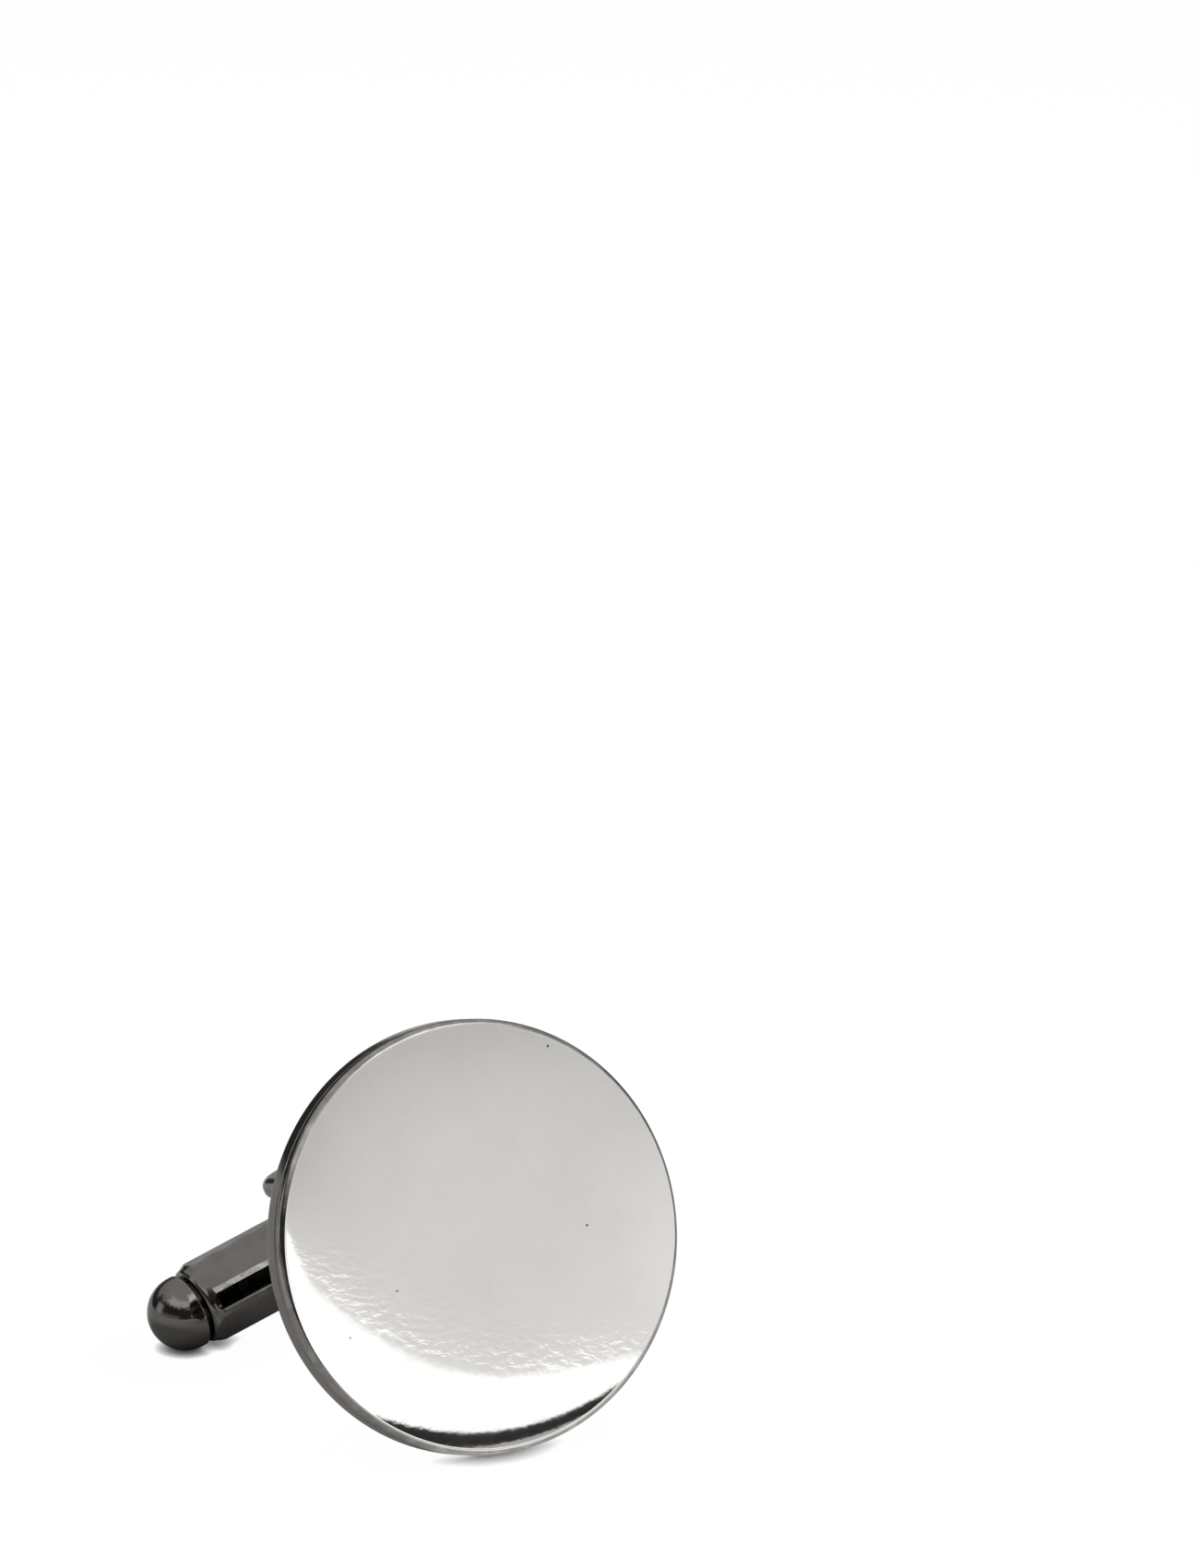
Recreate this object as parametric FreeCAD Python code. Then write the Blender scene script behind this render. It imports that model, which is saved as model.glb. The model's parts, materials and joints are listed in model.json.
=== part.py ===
import FreeCAD, Part
import math
import os

Vector = FreeCAD.Vector
Turn = FreeCAD.Rotation

# Head, millimetres
head_diameter = 18.5
head_thickness = 1.5
face_crown = 0.3
face_edge_round = 0.3
plate_edge = 0.5
plate_boss_depth = 0.3
case_rim_wall = 0.77
boss_clearance = 0.03
adhesive_thickness = 0.1
seam_bevel = 0.08
back_edge_round = 0.2
stem_seat_depth = 0.12
stem_seat_clearance = 0.16

# Forked stem, bent from one flat strip
strip_thickness = 0.95
strip_width = 2.8
strip_edge_round = 0.25
fork_gap = 4.6
bend_inner_radius = 0.5
pivot_behind_face = 16.4
leg_past_pivot = 2.4

# Pivot
pin_diameter = 1.2
pin_proud = 0.06
pin_end_bevel = 0.05
pin_cam_across = 1.04
pin_cam_height = 1.7
pin_running_clearance = 0.05
washer_diameter = 2.3
washer_running_clearance = 0.1

# Toggle
toggle_length = 18.3
barrel_across = 3.6
barrel_flat = 1.15
barrel_edge_round = 0.14
barrel_end_bevel = 0.12
barrel_bore = 2.3
slot_width = 0.7
slot_end_wall = 0.4
slot_bevel = 0.08
cap_diameter = 3.3
cap_shoulder = 0.25
cap_edge_round = 0.1
cap_neck_gap = 0.2
cap_spigot_length = 0.8

# Detent spring inside the barrel
spring_length = 9.0
spring_width = 1.5
spring_thickness = 0.12
spring_bow = 0.08
spring_pin_clearance = 0.04

# Rest on a table: head edge, lower leg and left end of the toggle touch it
lean_angle = 19.2
roll_angle = 17.507

# Derived sizes
head_radius = head_diameter / 2
recess_radius = head_radius - case_rim_wall
boss_radius = recess_radius - boss_clearance
boss_end = plate_edge + plate_boss_depth
recess_end = boss_end + adhesive_thickness
leg_inner = fork_gap / 2
leg_outer = leg_inner + strip_thickness
bend_outer_radius = bend_inner_radius + strip_thickness
stem_seat = head_thickness - stem_seat_depth
stem_seat_radius = math.hypot(strip_width / 2, leg_outer) + stem_seat_clearance
leg_start = stem_seat + bend_outer_radius
leg_tip_radius = strip_width / 2
leg_tip_centre = pivot_behind_face + leg_past_pivot - leg_tip_radius
pin_radius = pin_diameter / 2
barrel_half = barrel_across / 2
cap_radius = cap_diameter / 2
cap_centre = toggle_length / 2 - cap_radius
cap_back = cap_centre - cap_shoulder
barrel_end = cap_back - cap_neck_gap

AXIS_X = Vector(1, 0, 0)
AXIS_Y = Vector(0, 1, 0)
AXIS_Z = Vector(0, 0, 1)
ORIGIN = Vector(0, 0, 0)
PIVOT = Vector(0, pivot_behind_face, 0)
half_arc_share = math.sqrt(0.5)


def line(start, end):
    return Part.LineSegment(start, end).toShape()


def arc(start, middle, end):
    return Part.Arc(start, middle, end).toShape()


def box_between(low, high):
    size = high.sub(low)
    return Part.makeBox(size.x, size.y, size.z, low)


def rod(radius, low, high):
    # Round bar along the pivot axis, between two heights
    return Part.makeCylinder(radius, high - low, Vector(0, pivot_behind_face, low), AXIS_Z)


def turned(edges, axis):
    # Solid of revolution of a closed profile
    face = Part.Face(Part.Wire(Part.__sortEdges__(edges)))
    return face.revolve(ORIGIN, axis, 360)


def face_plate():
    # Polished front: shallow crown, rounded edge, boss that drops into the case
    flat_radius = head_radius - face_edge_round
    crown_radius = (flat_radius ** 2 + face_crown ** 2) / (2 * face_crown)
    middle_radius = flat_radius / 2
    middle_rise = math.sqrt(crown_radius ** 2 - middle_radius ** 2) - (crown_radius - face_crown)
    top = Vector(0, -face_crown, 0)
    middle = Vector(middle_radius, -middle_rise, 0)
    edge_in = Vector(flat_radius, 0, 0)
    edge_out = Vector(head_radius, face_edge_round, 0)
    edge_mid = Vector(flat_radius + face_edge_round * half_arc_share,
                      face_edge_round * (1 - half_arc_share), 0)
    corners = [edge_out, Vector(head_radius, plate_edge, 0), Vector(boss_radius, plate_edge, 0),
               Vector(boss_radius, boss_end, 0), Vector(0, boss_end, 0), top]
    edges = [arc(top, middle, edge_in), arc(edge_in, edge_mid, edge_out)]
    edges += [line(a, b) for a, b in zip(corners, corners[1:])]
    return turned(edges, AXIS_Y)


def face_adhesive():
    # Thin bond between the plate's boss and the floor of the case
    return Part.makeCylinder(boss_radius, adhesive_thickness, Vector(0, boss_end, 0), AXIS_Y)


def head_case():
    # Shallow cup that carries the plate in front, with a round seat for the stem behind
    round_in = head_radius - back_edge_round
    round_start = head_thickness - back_edge_round
    round_mid = Vector(round_in + back_edge_round * half_arc_share,
                       round_start + back_edge_round * half_arc_share, 0)
    rim_end = Vector(head_radius, round_start, 0)
    back_edge = Vector(round_in, head_thickness, 0)
    rim = [Vector(recess_radius, plate_edge, 0), Vector(head_radius - seam_bevel, plate_edge, 0),
           Vector(head_radius, plate_edge + seam_bevel, 0), rim_end]
    floor = [back_edge, Vector(stem_seat_radius, head_thickness, 0), Vector(stem_seat_radius, stem_seat, 0),
             Vector(0, stem_seat, 0), Vector(0, recess_end, 0), Vector(recess_radius, recess_end, 0), rim[0]]
    edges = [line(a, b) for a, b in zip(rim, rim[1:])]
    edges += [line(a, b) for a, b in zip(floor, floor[1:])]
    edges.append(arc(rim_end, round_mid, back_edge))
    return turned(edges, AXIS_Y)


def rounded_strip(shape, skip_y):
    # Soften every long edge of the strip, except where two pieces of it meet
    edges = []
    for edge in shape.Edges:
        box = edge.BoundBox
        at_joint = box.YLength < strip_edge_round and abs(box.YMin - skip_y) < strip_edge_round
        across = box.XLength > strip_width - strip_edge_round and edge.Curve.TypeId == "Part::GeomLine"
        if not at_joint and not across:
            edges.append(edge)
    return shape.makeFillet(strip_edge_round, edges)


def stem_bridge():
    # Foot of the fork, brazed flat in its seat on the case, with the two bends
    bend_height = leg_outer - bend_outer_radius
    half = leg_tip_radius
    foot = box_between(Vector(-half, stem_seat, -bend_height),
                       Vector(half, stem_seat + strip_thickness, bend_height))
    shape = foot
    for side in (-1, 1):
        centre = Vector(-half, leg_start, side * bend_height)
        ring = Part.makeCylinder(bend_outer_radius, strip_width, centre, AXIS_X)
        ring = ring.cut(Part.makeCylinder(bend_inner_radius, strip_width, centre, AXIS_X))
        reach = sorted([side * bend_height, side * leg_outer])
        quarter = box_between(Vector(-half, stem_seat, reach[0]), Vector(half, leg_start, reach[1]))
        shape = shape.fuse(ring.common(quarter))
    return rounded_strip(shape.removeSplitter(), leg_start).Solids[0]


def leg(side):
    # Straight leg with a round end, drilled for the pin
    low, high = sorted([side * leg_inner, side * leg_outer])
    half = leg_tip_radius
    strip = box_between(Vector(-half, leg_start, low), Vector(half, leg_tip_centre, high))
    tip = Part.makeCylinder(half, strip_thickness, Vector(0, leg_tip_centre, low), AXIS_Z)
    shape = rounded_strip(strip.fuse(tip).removeSplitter(), leg_start)
    return shape.cut(rod(pin_radius, low, high)).Solids[0]


def pivot_pin():
    # Pin set in both legs, squared in the middle where the spring bears
    end = leg_outer + pin_proud
    pin = rod(pin_radius, -end, end)
    ends = [edge for edge in pin.Edges if edge.Closed]
    pin = pin.makeChamfer(pin_end_bevel, ends)
    half_height = pin_cam_height / 2
    half_across = pin_cam_across / 2
    sleeve = rod(pin_radius, -half_height, half_height)
    square = box_between(Vector(-half_across, pivot_behind_face - half_across, -half_height),
                         Vector(half_across, pivot_behind_face + half_across, half_height))
    return pin.cut(sleeve.cut(square)).Solids[0]


def pivot_washers():
    # One spacer on each side of the barrel, seated on the legs
    rings = []
    for side in (-1, 1):
        near = barrel_half + washer_running_clearance
        low, high = sorted([side * near, side * leg_inner])
        rings.append(rod(washer_diameter / 2, low, high).cut(rod(pin_radius, low, high)))
    return Part.makeCompound(rings)


def barrel_outline():
    # Eight-sided section, narrow flats towards the head, the legs and the back
    short = barrel_flat / 2
    points = []
    for a, b in ((short, barrel_half), (barrel_half, short), (barrel_half, -short), (short, -barrel_half),
                 (-short, -barrel_half), (-barrel_half, -short), (-barrel_half, short), (-short, barrel_half)):
        points.append(Vector(-barrel_end, pivot_behind_face + a, b))
    points.append(points[0])
    return Part.Face(Part.makePolygon(points))


def stadium(depth, half):
    # Outline of the slot at one depth, with round ends
    reach = barrel_end - slot_end_wall - slot_width / 2
    upper = [Vector(-reach, depth, half), Vector(reach, depth, half)]
    lower = [Vector(-reach, depth, -half), Vector(reach, depth, -half)]
    return Part.Wire([line(upper[0], upper[1]), arc(upper[1], Vector(reach + half, depth, 0), lower[1]),
                      line(lower[1], lower[0]), arc(lower[0], Vector(-reach - half, depth, 0), upper[0])])


def slot_cutter():
    # Slot from the front of the barrel to its middle, with a bevelled mouth
    front = pivot_behind_face - barrel_half
    half = slot_width / 2
    mouth = Part.makeLoft([stadium(front, half + slot_bevel), stadium(front + slot_bevel, half)], True, True)
    throat = Part.Face(stadium(front + slot_bevel, half)).extrude(Vector(0, barrel_half - slot_bevel, 0))
    return mouth.fuse(throat)


def toggle_barrel():
    # Faceted tube with a long slot in the side that faces the head
    length = barrel_end * 2
    body = barrel_outline().extrude(Vector(length, 0, 0))
    body = body.makeFillet(barrel_edge_round, [e for e in body.Edges if e.BoundBox.XLength > barrel_end])
    body = body.makeChamfer(barrel_end_bevel, [e for e in body.Edges if e.BoundBox.XLength < barrel_end_bevel])
    bore = Part.makeCylinder(barrel_bore / 2, length, Vector(-barrel_end, pivot_behind_face, 0), AXIS_X)
    hole = rod(pin_radius + pin_running_clearance, -barrel_half, barrel_half)
    return body.cut(bore).cut(slot_cutter()).cut(hole).Solids[0]


def end_cap(side):
    # Domed end with a spigot pressed into the barrel
    spigot_end = barrel_end - cap_spigot_length
    tip = Vector(cap_centre + cap_radius, 0, 0)
    dome_mid = Vector(cap_centre + cap_radius * half_arc_share, cap_radius * half_arc_share, 0)
    shoulder = Vector(cap_centre, cap_radius, 0)
    round_top = Vector(cap_back + cap_edge_round, cap_radius, 0)
    round_mid = Vector(cap_back + cap_edge_round * (1 - half_arc_share),
                       cap_radius - cap_edge_round * (1 - half_arc_share), 0)
    round_end = Vector(cap_back, cap_radius - cap_edge_round, 0)
    corners = [round_end, Vector(cap_back, barrel_bore / 2, 0), Vector(spigot_end, barrel_bore / 2, 0),
               Vector(spigot_end, 0, 0), tip]
    edges = [arc(tip, dome_mid, shoulder), line(shoulder, round_top), arc(round_top, round_mid, round_end)]
    edges += [line(a, b) for a, b in zip(corners, corners[1:])]
    cap = turned(edges, AXIS_X)
    if side < 0:
        cap.rotate(ORIGIN, AXIS_Z, 180)
    cap.translate(PIVOT)
    return cap


def detent_spring():
    # Bowed leaf behind the pin
    near = pivot_behind_face + pin_radius + spring_pin_clearance
    far = near + spring_thickness
    half = spring_length / 2
    low = -spring_width / 2
    near_ends = [Vector(-half, near + spring_bow, low), Vector(half, near + spring_bow, low)]
    far_ends = [Vector(-half, far + spring_bow, low), Vector(half, far + spring_bow, low)]
    edges = [arc(near_ends[0], Vector(0, near, low), near_ends[1]), line(near_ends[1], far_ends[1]),
             arc(far_ends[1], Vector(0, far, low), far_ends[0]), line(far_ends[0], near_ends[0])]
    return Part.Face(Part.Wire(edges)).extrude(Vector(0, 0, spring_width))


def laid_down(shapes):
    # Turn the cufflink to its rest on the table, origin under the middle of its box
    turn = Turn(AXIS_X, -lean_angle).multiply(Turn(AXIS_Y, -roll_angle))
    for shape in shapes.values():
        shape.Placement = FreeCAD.Placement(ORIGIN, turn).multiply(shape.Placement)
    box = Part.makeCompound(list(shapes.values())).optimalBoundingBox(False)
    shift = Vector(-box.Center.x, -box.Center.y, -box.ZMin)
    for shape in shapes.values():
        shape.translate(shift)
    return FreeCAD.Placement(shift, turn)


def main():
    shapes = {
        "face_plate": face_plate(),
        "face_adhesive": face_adhesive(),
        "head_case": head_case(),
        "stem_bridge": stem_bridge(),
        "upper_leg": leg(1),
        "lower_leg": leg(-1),
        "pivot_pin": pivot_pin(),
        "pivot_washers": pivot_washers(),
        "toggle_barrel": toggle_barrel(),
        "left_end_cap": end_cap(-1),
        "right_end_cap": end_cap(1),
        "detent_spring": detent_spring(),
    }
    rest = laid_down(shapes)
    os.makedirs("parts", exist_ok=True)
    for name, shape in shapes.items():
        shape.exportStep("parts/" + name + ".step")
        print(name, shape.ShapeType, len(shape.Solids), "valid", shape.isValid(), "volume", round(shape.Volume, 3))
    pivot = rest.multVec(PIVOT)
    axis = rest.Rotation.multVec(AXIS_Z)
    print("pivot", [round(v, 4) for v in pivot], "axis", [round(v, 5) for v in axis])


main()
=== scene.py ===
"""Looks of a round cufflink with a swivel toggle.

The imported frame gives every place. Each sub-assembly is a class that holds its sizes in
millimetres, models its pieces along the cufflink's own axes and dresses them: X runs along the
toggle, Y runs back along the stem from the face's edge, and Z is the pivot axis.
"""

from __future__ import annotations

import json
import logging
import math
from dataclasses import dataclass, field, replace
from enum import Enum
from functools import partial, reduce
from typing import Any, Callable, Iterable, Sequence

import bmesh
import bpy
from bmesh.types import BMEdge, BMesh, BMFace, BMVert
from bpy.types import Material, Mesh, Node, NodeSocket, NodeTree, Object
from mathutils import Euler, Matrix, Vector

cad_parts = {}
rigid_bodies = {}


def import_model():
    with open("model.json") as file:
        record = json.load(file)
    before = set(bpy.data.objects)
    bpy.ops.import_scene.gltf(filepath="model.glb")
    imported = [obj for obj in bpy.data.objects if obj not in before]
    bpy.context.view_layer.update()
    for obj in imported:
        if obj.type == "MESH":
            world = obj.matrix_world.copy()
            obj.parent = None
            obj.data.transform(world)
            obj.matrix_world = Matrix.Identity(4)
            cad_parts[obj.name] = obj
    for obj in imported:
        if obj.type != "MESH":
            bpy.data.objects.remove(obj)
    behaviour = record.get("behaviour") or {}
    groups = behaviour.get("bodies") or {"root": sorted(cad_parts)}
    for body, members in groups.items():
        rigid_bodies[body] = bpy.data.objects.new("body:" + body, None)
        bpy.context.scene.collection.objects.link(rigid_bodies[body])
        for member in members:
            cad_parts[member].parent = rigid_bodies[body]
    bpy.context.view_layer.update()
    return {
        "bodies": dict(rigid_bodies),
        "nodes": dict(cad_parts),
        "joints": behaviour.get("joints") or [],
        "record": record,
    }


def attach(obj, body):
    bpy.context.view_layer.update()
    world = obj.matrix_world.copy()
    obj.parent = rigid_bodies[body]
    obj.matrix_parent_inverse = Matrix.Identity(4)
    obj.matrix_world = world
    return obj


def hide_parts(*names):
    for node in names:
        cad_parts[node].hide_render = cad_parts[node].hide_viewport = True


LOG = logging.getLogger("cufflink")
MM = 0.001
WELD = 1e-5
WEAR_AND_SHEEN_LAYER = "edge_wear_and_sheen"

X_AXIS = Vector((1.0, 0.0, 0.0))
Y_AXIS = Vector((0.0, 1.0, 0.0))
Z_AXIS = Vector((0.0, 0.0, 1.0))
SIDES = (1.0, -1.0)

Pair = tuple[float, float]
Triple = tuple[float, float, float]
Span = tuple[float, ...]
Profile = list[Pair]


class Body(Enum):
    """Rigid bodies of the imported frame."""

    HEAD = "head_and_stem"
    TOGGLE = "toggle"


class Slot(Enum):
    """Material slots of the record that new pieces take."""

    FACE = "polished_face"
    PLATING = "dark_plating"
    PIN = "pin_steel"
    WASHER = "dark_washer"


@dataclass(frozen=True)
class RestFrame:
    """Where the cufflink's own axes lie in the row frame."""

    origin: Vector
    turn: Matrix

    @classmethod
    def from_frame(cls, frame: dict[str, Any], pivot_behind_face: float) -> RestFrame:
        """Read the axes from the joint and the mount on the head's back.

        Args:
            pivot_behind_face: Distance from the face's edge plane to the pivot.

        Returns:
            The rest frame.
        """
        joint = frame["joints"][0]
        mount = next(item for item in frame["record"]["mounts"] if item["name"] == "head_back")
        pivot_axis = Vector(joint["axis"]).normalized()
        stem_axis = Vector(mount["axis"]).normalized()
        toggle_axis = stem_axis.cross(pivot_axis)
        turn = Matrix((toggle_axis, stem_axis, pivot_axis)).transposed()
        origin = Vector(joint["pos_m"]) - stem_axis * pivot_behind_face * MM
        return cls(origin, turn)

    @property
    def matrix(self) -> Matrix:
        """Map own axes in millimetres to the row frame in metres."""
        return Matrix.Translation(self.origin) @ self.turn.to_4x4() @ Matrix.Scale(MM, 4)


# --- modelling


def arc(centre: Pair, radius: float, start: float, end: float, steps: int) -> Profile:
    """Return points on an arc of a profile, from one angle in degrees to another."""
    angles = [math.radians(start + (end - start) * step / steps) for step in range(steps + 1)]
    return [(centre[0] + radius * math.cos(a), centre[1] + radius * math.sin(a)) for a in angles]


def rod(radius: float, reach: float) -> Profile:
    """Return the profile of a plain rod."""
    return [(0.0, -reach), (radius, -reach), (radius, reach), (0.0, reach)]


def flipped(profile: Profile, sign: float) -> Profile:
    """Return a profile for one side: a sign of -1 mirrors it."""
    return [(radius, sign * along) for radius, along in profile]


def only(kind: type, items: Iterable[Any]) -> list[Any]:
    """Return the items of one kind."""
    return [item for item in items if isinstance(item, kind)]


def blank() -> BMesh:
    """Return an empty mesh whose faces can carry wear and painted sheen.

    Returns:
        The new mesh.
    """
    bm = bmesh.new()
    bm.faces.layers.float.new(WEAR_AND_SHEEN_LAYER)
    return bm


def mark_wear_and_sheen(bm: BMesh, faces: Iterable[BMFace]) -> None:
    """Mark faces that take the bright rubbed finish: wear on edges, and painted sheen on faces
    chosen to look lit.
    """
    for face in faces:
        face[bm.faces.layers.float[WEAR_AND_SHEEN_LAYER]] = 1.0


def mark_worn_where(bm: BMesh, test: Callable[[Vector], bool]) -> None:
    """Mark the faces whose centres pass a test as rubbed."""
    mark_wear_and_sheen(bm, [face for face in bm.faces if test(face.calc_center_median())])


def chain(bm: BMesh, points: Sequence[Vector], closed: bool = False) -> list[BMVert | BMEdge]:
    """Add a chain of edges.

    Args:
        bm: Mesh under construction.
        points: Corners in order.
        closed: Whether the last corner joins the first one.

    Returns:
        The new vertices and edges.
    """
    verts = [bm.verts.new(point) for point in points]
    following = verts[1:] + verts[:1] if closed else verts[1:]
    return verts + [bm.edges.new(pair) for pair in zip(verts, following)]


def face_outwards(bm: BMesh) -> None:
    """Turn every face outwards."""
    bmesh.ops.recalc_face_normals(bm, faces=bm.faces[:])


def shift(bm: BMesh, offset: Vector) -> None:
    """Move the whole mesh."""
    bmesh.ops.translate(bm, verts=bm.verts[:], vec=offset)


def swept(
    bm: BMesh, geom: list[Any], centre: Triple, axis: Vector, angle: float, steps: int
) -> list[Any]:
    """Spin geometry about an axis, close a full turn and return the last copy."""
    turn = {"cent": centre, "axis": axis, "angle": angle, "use_merge": angle == math.tau}
    return bmesh.ops.spin(bm, geom=geom, steps=steps, **turn)["geom_last"]


def turned(profile: Profile, axis: Vector, steps: int, closed: bool = False) -> BMesh:
    """Spin a profile into a turned solid about an axis through the origin.

    Args:
        profile: Pairs of radius and place along the axis.
        axis: Axis of the solid.
        steps: Spans around the axis.
        closed: Whether the profile is a closed loop off the axis.

    Returns:
        The new mesh.
    """
    bm = blank()
    across = axis.orthogonal().normalized()
    geom = chain(bm, [across * radius + axis * along for radius, along in profile], closed)
    swept(bm, geom, (0, 0, 0), axis, math.tau, steps)
    bmesh.ops.remove_doubles(bm, verts=bm.verts[:], dist=WELD)
    face_outwards(bm)
    return bm


def extruded(bm: BMesh, outline: Sequence[BMEdge], vector: Vector) -> None:
    """Fill a closed outline and extrude it into a solid.

    Args:
        bm: Mesh under construction.
        outline: Edges of the outline.
        vector: Way to the far end.
    """
    face = bmesh.ops.edgeloop_fill(bm, edges=outline)["faces"]
    grown = bmesh.ops.extrude_face_region(bm, geom=face, use_keep_orig=True)["geom"]
    bmesh.ops.translate(bm, verts=only(BMVert, grown), vec=vector)
    face_outwards(bm)


def rounded(bm: BMesh, edges: Iterable[BMEdge], offset: float, segments: int) -> None:
    """Round edges and mark the new faces as rubbed.

    Args:
        bm: Mesh under construction.
        edges: Edges to round.
        offset: Width of the rounding on each neighbouring face.
        segments: Number of strips.
    """
    made = bmesh.ops.bevel(
        bm, geom=list(edges), offset=offset, offset_type="OFFSET", affect="EDGES",
        segments=segments, profile=0.5, material=-1, clamp_overlap=True)
    mark_wear_and_sheen(bm, made["faces"])


def finished(bm: BMesh, name: str) -> Mesh:
    """Turn a mesh under construction into mesh data.

    Args:
        bm: Mesh under construction, which is freed.
        name: Name of the data.

    Returns:
        The mesh data.
    """
    mesh = bpy.data.meshes.new(name)
    bm.to_mesh(mesh)
    bm.free()
    return mesh


def add_object(name: str, data: Any) -> Object:
    """Add an object to the scene.

    Args:
        name: Name of the object.
        data: Mesh, light or camera that it holds.

    Returns:
        The new object.
    """
    made = bpy.data.objects.new(name, data)
    bpy.context.scene.collection.objects.link(made)
    return made


def cut(bm: BMesh, cutters: Sequence[BMesh]) -> BMesh:
    """Cut solids out of a solid.

    Args:
        bm: Solid to cut, which is freed.
        cutters: Solids to take away, which are freed.

    Returns:
        A new mesh with the openings.
    """
    holders = [
        add_object("working_object", finished(solid, "working_mesh")) for solid in (bm, *cutters)]
    for tool in holders[1:]:
        modifier = holders[0].modifiers.new(tool.name, "BOOLEAN")
        modifier.operation = "DIFFERENCE"
        modifier.solver = "EXACT"
        modifier.object = tool
    graph = bpy.context.evaluated_depsgraph_get()
    mesh = bpy.data.meshes.new_from_object(holders[0].evaluated_get(graph))
    result = bmesh.new()
    result.from_mesh(mesh)
    bpy.data.meshes.remove(mesh)
    for holder in holders:
        bpy.data.meshes.remove(holder.data)
    return result


def join(bm: BMesh, other: BMesh) -> None:
    """Add another mesh to a mesh and free the other one.

    Args:
        bm: Mesh that grows.
        other: Mesh that is added.
    """
    mesh = finished(other, "joining_mesh")
    bm.from_mesh(mesh)
    bpy.data.meshes.remove(mesh)


def dress(node: Object, finish: Material) -> None:
    """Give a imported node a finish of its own.

    Args:
        node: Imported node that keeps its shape.
        finish: Material to show.
    """
    node.data.materials.clear()
    node.data.materials.append(finish)
    LOG.info("%s keeps its shape and wears %s", node.name, finish.name)


@dataclass(frozen=True)
class Piece:
    """One finished piece of the model and the node it stands for."""

    name: str
    node: str
    body: Body
    slot: Slot
    sharp_angle: float = 30.0
    weighted: bool = False

    def place(self, bm: BMesh, rest: RestFrame, *finishes: Material) -> None:
        """Turn a modelled mesh into a piece of the scene.

        Args:
            bm: Finished mesh along the own axes, which is freed.
            rest: Rest frame that places it.
            finishes: Materials, in the order of the faces' material indices.
        """
        limit = math.radians(self.sharp_angle)
        for face in bm.faces:
            face.smooth = True
        for edge in bm.edges:
            if len(edge.link_faces) == 2 and edge.calc_face_angle(0.0) > limit:
                edge.smooth = False
        mesh = finished(bm, self.name)
        mesh.transform(rest.matrix)
        for finish in finishes:
            mesh.materials.append(finish)
        piece = add_object(self.name, mesh)
        if self.weighted:
            piece.modifiers.new("weighted_normals", "WEIGHTED_NORMAL").keep_sharp = True
        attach(piece, self.body.value)
        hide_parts(self.node)
        LOG.info("%s replaces %s with %d faces", self.name, self.node, len(mesh.polygons))


# --- shading


class Shader:
    """Short calls for adding nodes to a node tree."""

    def __init__(self, tree: NodeTree) -> None:
        """Wrap a tree and clear it."""
        self.tree = tree
        tree.nodes.clear()

    def add(self, kind: str, inputs: dict[int | str, Any] | None = None, **settings: Any) -> Node:
        """Add a node.

        Args:
            kind: Node type.
            inputs: Values or sockets, by input name or index.
            settings: Properties of the node.

        Returns:
            The new node.
        """
        node = self.tree.nodes.new(kind)
        for key, value in settings.items():
            setattr(node, key, value)
        for key, value in (inputs or {}).items():
            if isinstance(value, NodeSocket):
                self.tree.links.new(value, node.inputs[key])
            else:
                node.inputs[key].default_value = value
        return node

    def math(self, operation: str, *values: Any) -> NodeSocket:
        """Combine values with a math node."""
        return self.add("ShaderNodeMath", dict(enumerate(values)), operation=operation).outputs[0]

    def times(self, *values: Any) -> NodeSocket:
        """Multiply two or more values."""
        return reduce(partial(self.math, "MULTIPLY"), values)

    def span(
        self, value: Any, low: float, high: float, to_low: float = 0.0, to_high: float = 1.0
    ) -> NodeSocket:
        """Map a value smoothly from one span to another.

        Args:
            value: Socket to map.
            low: Start of the source span.
            high: End of the source span.
            to_low: Result at and before the start.
            to_high: Result at and after the end.

        Returns:
            The mapped value.
        """
        inputs = {
            "Value": value, "From Min": low, "From Max": high, "To Min": to_low, "To Max": to_high}
        return self.add("ShaderNodeMapRange", inputs, interpolation_type="SMOOTHSTEP").outputs[0]

    def tint(self, factor: Any, first: Any, second: Any) -> NodeSocket:
        """Mix two colours, which are sockets 6 and 7 of a mix node, with output 2."""
        inputs = {0: factor, 6: first, 7: second}
        return self.add("ShaderNodeMix", inputs, data_type="RGBA").outputs[2]

    def noise(self, vector: Any, scale: Any = 1.0, detail: float = 2.0) -> NodeSocket:
        """Add a noise value."""
        inputs = {"Vector": vector, "Scale": scale, "Detail": detail}
        return self.add("ShaderNodeTexNoise", inputs).outputs[0]

    def parts(self, vector: Any) -> Any:
        """Split a vector and return the outputs X, Y and Z."""
        return self.add("ShaderNodeSeparateXYZ", {0: vector}).outputs

    def within(
        self, vector: Any, place: Any = (0.0,) * 3, turn: Any = (0.0,) * 3, size: Any = (1.0,) * 3
    ) -> NodeSocket:
        """Express a vector in a frame that is placed, turned and sized."""
        inputs = {"Vector": vector, "Location": place, "Rotation": turn, "Scale": size}
        return self.add("ShaderNodeMapping", inputs, vector_type="TEXTURE").outputs[0]

    def group(self, tree: NodeTree, vector: Any, **inputs: Any) -> Any:
        """Add a node group and return its outputs."""
        return self.add("ShaderNodeGroup", {"Vector": vector, **inputs}, node_tree=tree).outputs


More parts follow.
